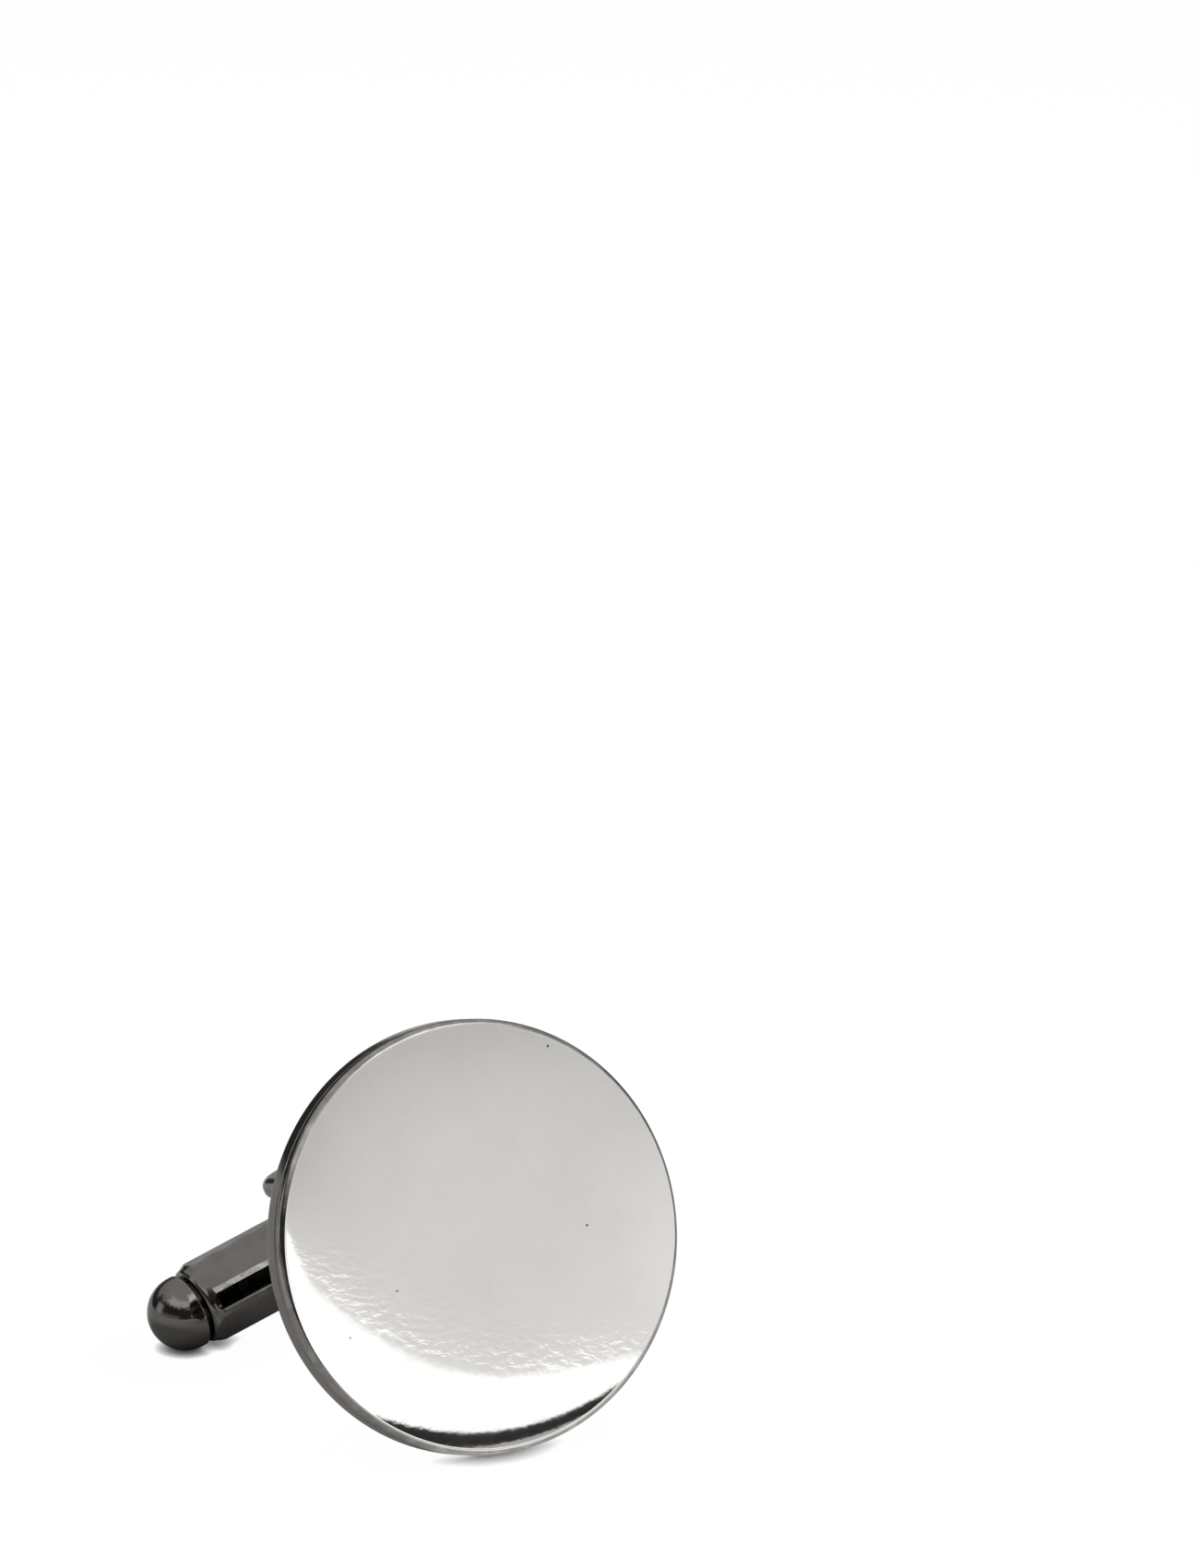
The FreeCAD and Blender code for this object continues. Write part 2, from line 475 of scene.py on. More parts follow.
class GroupShader(Shader):
    """Shader of a node group that takes coordinates and one number."""

    def __init__(self, name: str, number: str, outputs: Sequence[str]) -> None:
        """Start the group.

        Args:
            name: Name of the group.
            number: Name of its number input.
            outputs: Names of its outputs.
        """
        tree = bpy.data.node_groups.new(name, "ShaderNodeTree")
        for key, kind in (("Vector", "NodeSocketVector"), (number, "NodeSocketFloat")):
            tree.interface.new_socket(name=key, in_out="INPUT", socket_type=kind)
        for key in outputs:
            tree.interface.new_socket(name=key, in_out="OUTPUT", socket_type="NodeSocketFloat")
        super().__init__(tree)
        given = self.add("NodeGroupInput").outputs
        self.vector, self.number = given["Vector"], given[number]
        self.result = self.add("NodeGroupOutput")

    def give(self, **values: NodeSocket) -> NodeTree:
        """Link the group's outputs.

        Args:
            values: Sockets by output name.

        Returns:
            The finished tree.
        """
        for key, value in values.items():
            self.tree.links.new(value, self.result.inputs[key])
        return self.tree


def new_material(name: str) -> tuple[Material, Shader]:
    """Add a material with an empty tree.

    Args:
        name: Name of the material.

    Returns:
        The material and the shader that fills its tree.
    """
    material = bpy.data.materials.new(name)
    material.use_nodes = True
    return material, Shader(material.node_tree)


def own_coordinates(shader: Shader, rest: RestFrame) -> NodeSocket:
    """Give object coordinates in millimetres along the cufflink's own axes."""
    place = shader.add("ShaderNodeTexCoord").outputs["Object"]
    return shader.within(place, rest.origin, rest.turn.to_euler(), (MM,) * 3)


@dataclass(frozen=True)
class PlatingMottle:
    """Cloudy tone and hazy patches of a plated surface."""

    cloud_detail: float = 4.0
    fine_detail: float = 3.0
    fine_ratio: float = 5.3
    cloud_tone: Span = (0.35, 0.68, 0.0, 0.7)
    fine_tone: Span = (0.45, 0.75, 0.0, 0.3)
    cloud_haze: Span = (0.42, 0.62)
    fine_haze: Span = (0.3, 0.7, 0.4, 1.0)

    def build(self) -> NodeTree:
        """Build the node group.

        Returns:
            The group's tree.
        """
        shader = GroupShader("plating_mottle", "Scale", ("Tone", "Haze"))
        cloud = shader.noise(shader.vector, shader.number, self.cloud_detail)
        fine_scale = shader.times(shader.number, self.fine_ratio)
        fine = shader.noise(shader.vector, fine_scale, self.fine_detail)
        tone = shader.math(
            "ADD", shader.span(cloud, *self.cloud_tone), shader.span(fine, *self.fine_tone))
        haze = shader.times(
            shader.span(cloud, *self.cloud_haze), shader.span(fine, *self.fine_haze))
        return shader.give(Tone=tone, Haze=haze)


@dataclass(frozen=True)
class PolishingHairlines:
    """Fine scratches in a few directions, each with the noise level at which they show."""

    courses: tuple[Pair, ...] = ((12.0, 0.70), (71.0, 0.73), (128.0, 0.72), (163.0, 0.74))
    stretch: Triple = (0.16, 5.0, 5.0)
    detail: float = 1.0
    edge: float = 0.05

    def build(self) -> NodeTree:
        """Build the node group.

        Returns:
            The group's tree.
        """
        shader = GroupShader("polishing_hairlines", "Scale", ("Mask",))
        total: Any = 0.0
        for angle, level in self.courses:
            turn = (math.radians(angle), math.radians(angle), 0.0)
            inputs = {"Vector": shader.vector, "Rotation": turn, "Scale": self.stretch}
            course = shader.add("ShaderNodeMapping", inputs).outputs[0]
            streak = shader.noise(course, shader.number, self.detail)
            total = shader.math("MAXIMUM", total, shader.span(streak, level, level + self.edge))
        return shader.give(Mask=total)


@dataclass(frozen=True)
class DustSpecks:
    """Sparse specks of dust."""

    chance: Span = (0.86, 1.0, 0.0, 0.085)
    edge: Span = (0.0, 0.02)

    def build(self) -> NodeTree:
        """Build the node group.

        Returns:
            The group's tree.
        """
        shader = GroupShader("dust_specks", "Scale", ("Mask",))
        inputs = {"Vector": shader.vector, "Scale": shader.number}
        cells = shader.add("ShaderNodeTexVoronoi", inputs).outputs
        draw = shader.add("ShaderNodeSeparateColor", {0: cells["Color"]}).outputs[0]
        near = shader.math("SUBTRACT", shader.span(draw, *self.chance), cells["Distance"])
        return shader.give(Mask=shader.span(near, *self.edge))


@dataclass(frozen=True)
class RubbedEdgesAndSheen:
    """Broken wear along rounded edges, and painted sheen on the faces marked for it."""

    scale: float = 1.4
    detail: float = 4.0
    patches: Span = (0.42, 0.66)

    def build(self) -> NodeTree:
        """Build the node group.

        Returns:
            The group's tree.
        """
        shader = GroupShader("rubbed_edges_and_sheen", "Edge", ("Mask",))
        cloud = shader.noise(shader.vector, self.scale, self.detail)
        return shader.give(Mask=shader.times(shader.span(cloud, *self.patches), shader.number))


class Effects:
    """Surface effects that several materials share, as node groups."""

    def __init__(self) -> None:
        """Build every group."""
        self.mottle = PlatingMottle().build()
        self.hairlines = PolishingHairlines().build()
        self.specks = DustSpecks().build()
        self.rubbed = RubbedEdgesAndSheen().build()


@dataclass(frozen=True)
class Ripple:
    """Low ripples that polishing left along the lower arc of an oval on the face."""

    height: float = 7.5e-6
    haze: float = 0.04
    level_turn: Triple = (0.0, math.radians(17.507), 0.0)
    centre: Triple = (3.6, 0.0, 4.25)
    oval: Triple = (13.1, 13.1, 10.3)
    rise: Span = (0.62, 0.92)
    fall: Span = (0.97, 1.01, 1.0, 0.0)
    top: Span = (0.0, 1.5, 1.0, 0.0)
    lie: Triple = (0.0, math.radians(31.5), 0.0)
    size: Triple = (0.55, 0.33, 0.30)
    noise_mean: float = 0.5

    def build(self, shader: Shader, place: NodeSocket) -> tuple[NodeSocket, NodeSocket]:
        """Add the ripples to a material.

        Args:
            shader: Tree of the material.
            place: Coordinates along the own axes.

        Returns:
            The swell around zero, and the mask of the arc.
        """
        level = shader.within(place, turn=self.level_turn)
        oval = shader.within(level, self.centre, size=self.oval)
        out = shader.add("ShaderNodeVectorMath", {0: oval}, operation="LENGTH").outputs["Value"]
        arc_mask = shader.times(
            shader.span(out, *self.rise), shader.span(out, *self.fall),
            shader.span(shader.parts(level)["Z"], *self.top))
        streaks = shader.noise(shader.within(place, turn=self.lie, size=self.size))
        swell = shader.math("SUBTRACT", streaks, self.noise_mean)
        return shader.times(swell, arc_mask), arc_mask


@dataclass(frozen=True)
class MetalFinish:
    """A metal surface and how much it shows its age."""

    name: str
    colour: Triple
    stain: Triple
    bright: Triple
    roughness: float
    haze: float
    mottle_scale: float
    stain_share: float
    hairline_scale: float
    hairline_share: float
    hairline_depth: float
    peel_scale: float
    peel_height: float
    wear_and_sheen_share: float
    speck_share: float
    ripple: Ripple | None = None
    wear_and_sheen_roughness: float = 0.08
    speck_scale: float = 1.1
    dust: Triple = (0.03, 0.03, 0.03)

    def build(self, rest: RestFrame, effects: Effects) -> Material:
        """Build the material.

        Args:
            rest: Rest frame of the meshes.
            effects: Shared node groups.

        Returns:
            The new material.
        """
        material, shader = new_material(self.name)
        place = own_coordinates(shader, rest)
        mottle = shader.group(effects.mottle, place, Scale=self.mottle_scale)
        lines = shader.group(effects.hairlines, place, Scale=self.hairline_scale)["Mask"]
        specks = shader.group(effects.specks, place, Scale=self.speck_scale)["Mask"]
        # The marked faces are rubbed edges, plus painted sheen on the barrel's front flats and slot
        # mouth; both tint towards the bright colour.
        edge = shader.add("ShaderNodeAttribute", attribute_name=WEAR_AND_SHEEN_LAYER).outputs["Fac"]
        wear = shader.group(effects.rubbed, place, Edge=edge)["Mask"]
        wear = shader.times(wear, self.wear_and_sheen_share)
        dust = shader.times(specks, self.speck_share)

        stained = shader.times(mottle["Tone"], self.stain_share)
        colour = shader.tint(stained, (*self.colour, 1.0), (*self.stain, 1.0))
        colour = shader.tint(wear, colour, (*self.bright, 1.0))
        colour = shader.tint(dust, colour, (*self.dust, 1.0))

        rough = shader.math("MULTIPLY_ADD", mottle["Haze"], self.haze, self.roughness)
        rough = shader.math("MULTIPLY_ADD", lines, self.hairline_share, rough)
        rough = shader.math("MULTIPLY_ADD", wear, self.wear_and_sheen_roughness, rough)

        height = shader.times(shader.noise(place, self.peel_scale), self.peel_height)
        height = shader.math("MULTIPLY_ADD", lines, -self.hairline_depth, height)
        if self.ripple:
            swell, arc_mask = self.ripple.build(shader, place)
            height = shader.math("MULTIPLY_ADD", swell, self.ripple.height, height)
            rough = shader.math("MULTIPLY_ADD", arc_mask, self.ripple.haze, rough)
        bump = {"Strength": 1.0, "Distance": 1.0, "Height": height}
        surface = shader.add("ShaderNodeBsdfPrincipled", {
            "Base Color": colour, "Metallic": shader.math("SUBTRACT", 1.0, dust),
            "Roughness": rough, "Normal": shader.add("ShaderNodeBump", bump).outputs[0]})
        shader.add("ShaderNodeOutputMaterial", {"Surface": surface.outputs[0]})
        return material


@dataclass(frozen=True)
class AdhesiveFinish:
    """A thin cured bond line."""

    name: str = "cured_adhesive"
    colour: Triple = (0.42, 0.38, 0.28)
    thin: Triple = (0.60, 0.56, 0.45)
    roughness: float = 0.35
    haze: float = 0.2
    mottle_scale: float = 0.8

    def build(self, rest: RestFrame, effects: Effects) -> Material:
        """Build the material.

        Args:
            rest: Rest frame of the meshes.
            effects: Shared node groups.

        Returns:
            The new material.
        """
        material, shader = new_material(self.name)
        place = own_coordinates(shader, rest)
        mottle = shader.group(effects.mottle, place, Scale=self.mottle_scale)
        colour = shader.tint(mottle["Tone"], (*self.colour, 1.0), (*self.thin, 1.0))
        rough = shader.math("MULTIPLY_ADD", mottle["Haze"], self.haze, self.roughness)
        surface = shader.add("ShaderNodeBsdfPrincipled", {"Base Color": colour, "Roughness": rough})
        shader.add("ShaderNodeOutputMaterial", {"Surface": surface.outputs[0]})
        return material


POLISHED = MetalFinish(
    name="polished_face_metal", colour=(0.80, 0.785, 0.765), stain=(0.75, 0.732, 0.708),
    bright=(0.86, 0.85, 0.83), roughness=0.03, haze=0.02, mottle_scale=0.35, stain_share=0.6,
    hairline_scale=1.6, hairline_share=0.05, hairline_depth=1.5e-8, peel_scale=2.8,
    peel_height=0.7e-6, wear_and_sheen_share=0.3, speck_share=0.9, ripple=Ripple())
PLATING = MetalFinish(
    name="gunmetal_plating", colour=(0.212, 0.199, 0.184), stain=(0.138, 0.128, 0.117),
    bright=(0.44, 0.42, 0.395), roughness=0.10, haze=0.08, mottle_scale=0.9, stain_share=0.5,
    hairline_scale=2.0, hairline_share=0.12, hairline_depth=6e-8, peel_scale=3.0,
    peel_height=5.0e-6, wear_and_sheen_share=0.5, speck_share=0.7)
ROLLED_EDGE = replace(
    PLATING, name="rolled_edge_metal", colour=(0.31, 0.295, 0.277), stain=(0.22, 0.207, 0.192),
    bright=(0.50, 0.48, 0.455))
PIN_STEEL = MetalFinish(
    name="pin_end_steel", colour=(0.24, 0.23, 0.22), stain=(0.15, 0.143, 0.135),
    bright=(0.40, 0.385, 0.37), roughness=0.20, haze=0.12, mottle_scale=2.4, stain_share=0.8,
    hairline_scale=4.0, hairline_share=0.15, hairline_depth=1e-7, peel_scale=6.0,
    peel_height=2.0e-6, wear_and_sheen_share=0.7, speck_share=0.3)
WASHER_METAL = replace(
    PIN_STEEL, name="washer_black", colour=(0.055, 0.053, 0.051), stain=(0.035, 0.034, 0.032),
    bright=(0.16, 0.153, 0.145), roughness=0.30, haze=0.15, mottle_scale=2.0, hairline_share=0.12)
SPRING_STEEL = replace(
    PIN_STEEL, name="leaf_spring_steel", colour=(0.30, 0.295, 0.29), stain=(0.20, 0.19, 0.18),
    bright=(0.45, 0.44, 0.43), roughness=0.24, mottle_scale=1.5, hairline_scale=3.0,
    peel_scale=5.0, wear_and_sheen_share=0.5)


@dataclass(frozen=True)
class Finishes:
    """The materials of the model."""

    face: Material
    edge: Material
    plating: Material
    pin: Material
    washer: Material
    spring: Material
    adhesive: Material

    @classmethod
    def build(cls, rest: RestFrame) -> Finishes:
        """Build every material from the shared effects.

        Args:
            rest: Rest frame of the meshes.

        Returns:
            The materials.
        """
        effects = Effects()
        metals = (POLISHED, ROLLED_EDGE, PLATING, PIN_STEEL, WASHER_METAL, SPRING_STEEL)
        return cls(*(f.build(rest, effects) for f in (*metals, AdhesiveFinish())))


# --- sub-assemblies


@dataclass(frozen=True)
class Head:
    """Polished face plate bonded into a plated case."""

    radius: float = 9.25
    thickness: float = 1.5
    crown: float = 0.3
    crown_power: float = 4.0
    edge_round: float = 0.3
    polish_tilt: float = 18.0
    plate_edge: float = 0.5
    boss_depth: float = 0.3
    rim_wall: float = 0.77
    boss_clearance: float = 0.03
    adhesive: float = 0.1
    seam_bevel: float = 0.08
    back_round: float = 0.2
    seat_depth: float = 0.12
    seat_radius: float = 3.6988
    spans: int = 288
    rings: int = 72
    edge_steps: int = 14
    back_steps: int = 10

    @property
    def flat_radius(self) -> float:
        """Radius at which the face turns into its rounded edge."""
        return self.radius - self.edge_round

    def build(self, rest: RestFrame, finishes: Finishes, nodes: dict[str, Object]) -> None:
        """Model and dress the head.

        Args:
            rest: Rest frame.
            finishes: Materials.
            nodes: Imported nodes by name.
        """
        Piece("polished_face_plate", "face_plate", Body.HEAD, Slot.FACE).place(
            self._face_plate(), rest, finishes.face, finishes.edge, finishes.plating)
        Piece("plated_head_case", "head_case", Body.HEAD, Slot.PLATING).place(
            self._case(), rest, finishes.plating)
        dress(nodes["face_adhesive"], finishes.adhesive)

    def _face_plate(self) -> BMesh:
        """Turn the crowned plate with its rolled edge and the boss behind it.

        Returns:
            The plate's mesh, with material indices for face, rolled edge and back.
        """
        shares = [math.sin(math.pi / 2 * ring / self.rings) for ring in range(self.rings + 1)]
        crown = [(self.flat_radius * s, self.crown * (s**self.crown_power - 1.0)) for s in shares]
        centre = (self.flat_radius, self.edge_round)
        edge = arc(centre, self.edge_round, -90.0, 0.0, self.edge_steps)
        boss_radius = self.radius - self.rim_wall - self.boss_clearance
        boss_end = self.plate_edge + self.boss_depth
        back = [
            (self.radius, self.plate_edge), (boss_radius, self.plate_edge),
            (boss_radius, boss_end), (0.0, boss_end)]
        bm = turned(crown + edge[1:] + back, Y_AXIS, self.spans)
        polish_end = self.edge_round * (1.0 - math.cos(math.radians(self.polish_tilt)))
        for face in bm.faces:
            along = face.calc_center_median().y
            face.material_index = int(along > polish_end) + int(along > self.edge_round)
        mark_worn_where(bm, lambda c: 0.0 < c.y < self.edge_round)
        for line in bm.edges:
            if all(abs(vert.co.y) < WELD for vert in line.verts):
                line.smooth = False
        return bm

    def _case(self) -> BMesh:
        """Turn the case: a rim around the bond, and a back with a seat for the stem.

        Returns:
            The case's mesh.
        """
        recess = self.radius - self.rim_wall
        recess_end = self.plate_edge + self.boss_depth + self.adhesive
        seam_end = self.plate_edge + self.seam_bevel
        seat = self.thickness - self.seat_depth
        corner = (self.radius - self.back_round, self.thickness - self.back_round)
        profile = [
            (0.0, recess_end), (recess, recess_end), (recess, self.plate_edge),
            (self.radius - self.seam_bevel, self.plate_edge), (self.radius, seam_end),
            *arc(corner, self.back_round, 0.0, 90.0, self.back_steps),
            (self.seat_radius, self.thickness), (self.seat_radius, seat), (0.0, seat)]
        bm = turned(profile, Y_AXIS, self.spans)
        mark_worn_where(
            bm, lambda c: math.hypot(c.x, c.z) > corner[0] and not seam_end <= c.y <= corner[1])
        return bm


@dataclass(frozen=True)
class ForkedStem:
    """Flat strip bent into a fork: a foot on the head and two legs."""

    seat: float = 1.38
    strip_thickness: float = 0.95
    strip_width: float = 2.8
    edge_round: float = 0.42
    leg_inner: float = 2.3
    bend_inner: float = 0.5
    tip_centre: float = 17.4
    pivot: float = 16.4
    pin_radius: float = 0.6
    drill_reach: float = 5.0
    corner_angle: float = 60.0
    bend_steps: int = 14
    tip_steps: int = 40
    edge_segments: int = 8
    hole_steps: int = 64

    @property
    def leg_outer(self) -> float:
        """Height of a leg's outer side."""
        return self.leg_inner + self.strip_thickness

    @property
    def bend_outer(self) -> float:
        """Outer radius of the bends."""
        return self.bend_inner + self.strip_thickness

    @property
    def leg_start(self) -> float:
        """Place along the stem where a bend ends and a leg begins."""
        return self.seat + self.bend_outer

    def build(self, rest: RestFrame, finishes: Finishes) -> None:
        """Model and dress the stem.

        Args:
            rest: Rest frame.
            finishes: Materials.
        """
        bridge = Piece("plated_stem_bridge", "stem_bridge", Body.HEAD, Slot.PLATING, weighted=True)
        bridge.place(self._bridge(), rest, finishes.plating)
        for name, height in (("upper_leg", self.leg_inner), ("lower_leg", -self.leg_outer)):
            leg = Piece(f"plated_{name}", name, Body.HEAD, Slot.PLATING, weighted=True)
            leg.place(self._leg(height), rest, finishes.plating)

    def _bridge(self) -> BMesh:
        """Bend a ribbon around both corners and thicken it inwards.

        Returns:
            The bridge's mesh.
        """
        bm = blank()
        half = self.strip_width / 2
        height = self.leg_outer - self.bend_outer
        end = chain(bm, [Vector((x, self.leg_start, self.leg_outer)) for x in (-half, half)])
        end = self._bend(bm, end, height)
        grown = bmesh.ops.extrude_edge_only(bm, edges=only(BMEdge, end))["geom"]
        bmesh.ops.translate(bm, verts=only(BMVert, grown), vec=(0.0, 0.0, -2 * height))
        self._bend(bm, only(BMVert, grown) + only(BMEdge, grown), -height)
        face_outwards(bm)
        bmesh.ops.solidify(bm, geom=bm.faces[:], thickness=self.strip_thickness)
        face_outwards(bm)
        limit = math.radians(self.corner_angle)
        corners = [
            e for e in bm.edges
            if e.calc_face_angle(0.0) > limit and not self._at_start(e)
            and abs(e.verts[0].co.x - e.verts[1].co.x) < WELD]
        rounded(bm, corners, self.edge_round, self.edge_segments)
        return bm

    def _at_start(self, edge: BMEdge) -> bool:
        """Tell whether an edge lies in the plane where a leg meets the bridge."""
        return all(abs(v.co.y - self.leg_start) < WELD for v in edge.verts)

    def _bend(self, bm: BMesh, geom: list[Any], height: float) -> list[Any]:
        """Spin a ribbon's end edge through a quarter turn."""
        centre = (0.0, self.leg_start, height)
        return swept(bm, geom, centre, X_AXIS, math.pi / 2, self.bend_steps)

    def _leg(self, height: float) -> BMesh:
        """Extrude a leg with a round end, round its edges and drill it for the pin.

        Args:
            height: Height of its lower side.

        Returns:
            The leg's mesh.
        """
        bm = blank()
        half = self.strip_width / 2
        side = chain(bm, [Vector((half, y, height)) for y in (self.leg_start, self.tip_centre)])
        centre = (0.0, self.tip_centre, height)
        end = swept(bm, [side[1]], centre, Z_AXIS, math.pi, self.tip_steps)
        corner = bm.verts.new((-half, self.leg_start, height))
        bm.edges.new((only(BMVert, end)[0], corner))
        bm.edges.new((corner, side[0]))
        extruded(bm, bm.edges[:], Z_AXIS * self.strip_thickness)
        level = [
            e for e in bm.edges
            if abs(e.verts[0].co.z - e.verts[1].co.z) < WELD and not self._at_start(e)]
        rounded(bm, level, self.edge_round, self.edge_segments)
        drill = turned(rod(self.pin_radius, self.drill_reach), Z_AXIS, self.hole_steps)
        shift(drill, Y_AXIS * self.pivot)
        return cut(bm, [drill])


@dataclass(frozen=True)
class Pivot:
    """Pin with a squared middle, and the two washers on it."""

    pivot: float = 16.4
    pin_radius: float = 0.6
    pin_end: float = 3.31
    pin_bevel: float = 0.05
    cam_across: float = 1.04
    cam_height: float = 1.7
    washer_radius: float = 1.15
    washer_low: float = 1.9
    washer_high: float = 2.3
    washer_bevel: float = 0.05
    spans: int = 72
    cam_segments: int = 6

    def build(self, rest: RestFrame, finishes: Finishes) -> None:
        """Model and dress the pin and its washers.

        Args:
            rest: Rest frame.
            finishes: Materials.
        """
        Piece("steel_pivot_pin", "pivot_pin", Body.HEAD, Slot.PIN, weighted=True).place(
            self._pin(), rest, finishes.pin)
        Piece("dark_pivot_washers", "pivot_washers", Body.HEAD, Slot.WASHER, weighted=True).place(
            self._washers(), rest, finishes.washer)

    def _pin(self) -> BMesh:
        """Square the middle and turn both ends.

        Returns:
            The pin's mesh.
        """
        bm = blank()
        scale = Matrix.Diagonal((self.cam_across, self.cam_across, self.cam_height, 1.0))
        bmesh.ops.create_cube(bm, size=1.0, matrix=scale)
        upright = [e for e in bm.edges if abs(e.verts[0].co.z - e.verts[1].co.z) > WELD]
        flat_half = math.sqrt(self.pin_radius**2 - (self.cam_across / 2) ** 2)
        rounded(bm, upright, self.cam_across / 2 - flat_half, self.cam_segments)
        start = self.cam_height / 2
        profile = [
            (0.0, self.pin_end), (self.pin_radius - self.pin_bevel, self.pin_end),
            (self.pin_radius, self.pin_end - self.pin_bevel), (self.pin_radius, start),
            (0.0, start)]
        for sign in SIDES:
            join(bm, turned(flipped(profile, sign), Z_AXIS, self.spans))
        shift(bm, Y_AXIS * self.pivot)
        return bm

    def _washers(self) -> BMesh:
        """Turn two rings with bevelled edges.

        Returns:
            The mesh of both rings.
        """
        bm = blank()
        edge = self.washer_radius - self.washer_bevel
        profile = [
            (self.pin_radius, self.washer_low), (edge, self.washer_low),
            (self.washer_radius, self.washer_low + self.washer_bevel),
            (self.washer_radius, self.washer_high - self.washer_bevel),
            (edge, self.washer_high), (self.pin_radius, self.washer_high)]
        for sign in SIDES:
            join(bm, turned(flipped(profile, sign), Z_AXIS, self.spans, closed=True))
        shift(bm, Y_AXIS * self.pivot)
        return bm


@dataclass(frozen=True)
class Toggle:
    """Faceted slotted barrel with a domed cap in each end and a leaf spring inside."""

    pivot: float = 16.4
    barrel_end: float = 7.05
    barrel_half: float = 1.8
    barrel_flat: float = 1.15
    barrel_sides: int = 8
    edge_round: float = 0.14
    end_radius: float = 1.72
    end_round: float = 0.28
    bore_radius: float = 1.15
    slot_half: float = 0.35
    slot_end_wall: float = 0.4
    slot_bevel: float = 0.08
    slot_chamfer: float = 0.135
    slot_overrun: float = 1.0
    pin_hole_radius: float = 0.65
    cap_radius: float = 1.65
    cap_centre: float = 7.5
    cap_shoulder: float = 0.25
    cap_edge_round: float = 0.1
    spigot_length: float = 0.8
    sharp_angle: float = 20.0
    corner_angle: float = 30.0
    front_normal: float = -0.95
    spans: int = 96
    edge_segments: int = 4
    end_steps: int = 8
    slot_steps: int = 24
    dome_steps: int = 40
    shoulder_steps: int = 6

    def build(self, rest: RestFrame, finishes: Finishes, nodes: dict[str, Object]) -> None:
        """Model and dress the toggle.

        Args:
            rest: Rest frame.
            finishes: Materials.
            nodes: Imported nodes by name.
        """
        barrel = Piece(
            "faceted_toggle_barrel", "toggle_barrel", Body.TOGGLE, Slot.PLATING,
            sharp_angle=self.sharp_angle, weighted=True)
        barrel.place(self._barrel(), rest, finishes.plating)
        for name, sign in (("left_end_cap", -1.0), ("right_end_cap", 1.0)):
            cap = Piece(f"domed_{name}", name, Body.TOGGLE, Slot.PLATING)
            cap.place(self._cap(sign), rest, finishes.plating)
        dress(nodes["detent_spring"], finishes.spring)

    def _barrel(self) -> BMesh:
        """Extrude the faceted bar, round its edges, bore it, slot it and drill it.

        Returns:
            The barrel's mesh.
        """
        bm = blank()
        flat, half = self.barrel_flat / 2, self.barrel_half
        section = [
            (flat, half), (half, flat), (half, -flat), (flat, -half),
            (-flat, -half), (-half, -flat), (-half, flat), (-flat, half)]
        loop = chain(bm, [Vector((-self.barrel_end, y, z)) for y, z in section], closed=True)
        extruded(bm, only(BMEdge, loop), X_AXIS * 2 * self.barrel_end)
        beside_slot = [
            e for e in bm.edges
            if self._is_long(e) and all(v.co.y < WELD - half for v in e.verts)]
        rounded(bm, beside_slot, self.slot_chamfer, 1)
        limit = math.radians(self.corner_angle)
        corners = [e for e in bm.edges if self._is_long(e) and e.calc_face_angle(0.0) > limit]
        offset = self.edge_round * math.tan(math.pi / self.barrel_sides)
        rounded(bm, corners, offset, self.edge_segments)
        reach = 2 * self.barrel_end
        bore = turned(rod(self.bore_radius, reach), X_AXIS, self.spans)
        hole = turned(rod(self.pin_hole_radius, reach), Z_AXIS, self.spans)
        bm = cut(bm, [bore, self._slot(), hole, self._end_cutter(-1.0), self._end_cutter(1.0)])
        # Painted reflection: the barrel's front flats take the bright rubbed colour in place of the
        # head's back mirrored in them.
        mark_wear_and_sheen(bm, [
            f for f in bm.faces
            if f.normal.y < self.front_normal and f.calc_center_median().y < -self.bore_radius])
        shift(bm, Y_AXIS * self.pivot)
        return bm

    @staticmethod
    def _is_long(edge: BMEdge) -> bool:
        """Tell whether an edge runs along the barrel."""
        return abs(edge.verts[0].co.x - edge.verts[1].co.x) > WELD

    def _end_cutter(self, sign: float) -> BMesh:
        """Turn the ring that takes the corners off one end of the barrel.

        Args:
            sign: Side of the toggle.

        Returns:
            The ring's mesh.
        """
        centre = (self.end_radius - self.end_round, self.barrel_end - self.end_round)
        clear = 2 * self.barrel_half
        low, high = centre[1] - 2 * self.end_round, self.barrel_end + self.end_round
        profile = [
            *arc(centre, self.end_round, 90.0, 0.0, self.end_steps),
            (self.end_radius + self.end_round, low), (clear, low), (clear, high), (centre[0], high)]
        bm = turned(flipped(profile, sign), X_AXIS, self.spans, closed=True)
        mark_wear_and_sheen(bm, bm.faces)
        return bm

    def _slot(self) -> BMesh:
        """Loft the slot's cutter through round-ended outlines with a flared mouth.

        Returns:
            The cutter's mesh.
        """
        bm = blank()
        front = -self.barrel_half
        flare_end = front + self.slot_bevel
        mouth = self.slot_half + self.slot_bevel
        levels = [
            (front - self.slot_overrun, mouth), (front, mouth),
            (flare_end, self.slot_half), (0.0, self.slot_half)]
        loops = [self._stadium(bm, place, half) for place, half in levels]
        for first, second in zip(loops, loops[1:]):
            bmesh.ops.bridge_loops(bm, edges=first + second)
        for loop in (loops[0], loops[-1]):
            bmesh.ops.edgeloop_fill(bm, edges=loop)
        face_outwards(bm)
        # The flared mouth is a rubbed edge, and its bright rubbed colour is also painted sheen.
        mark_worn_where(bm, lambda c: front < c.y < flare_end)
        return bm

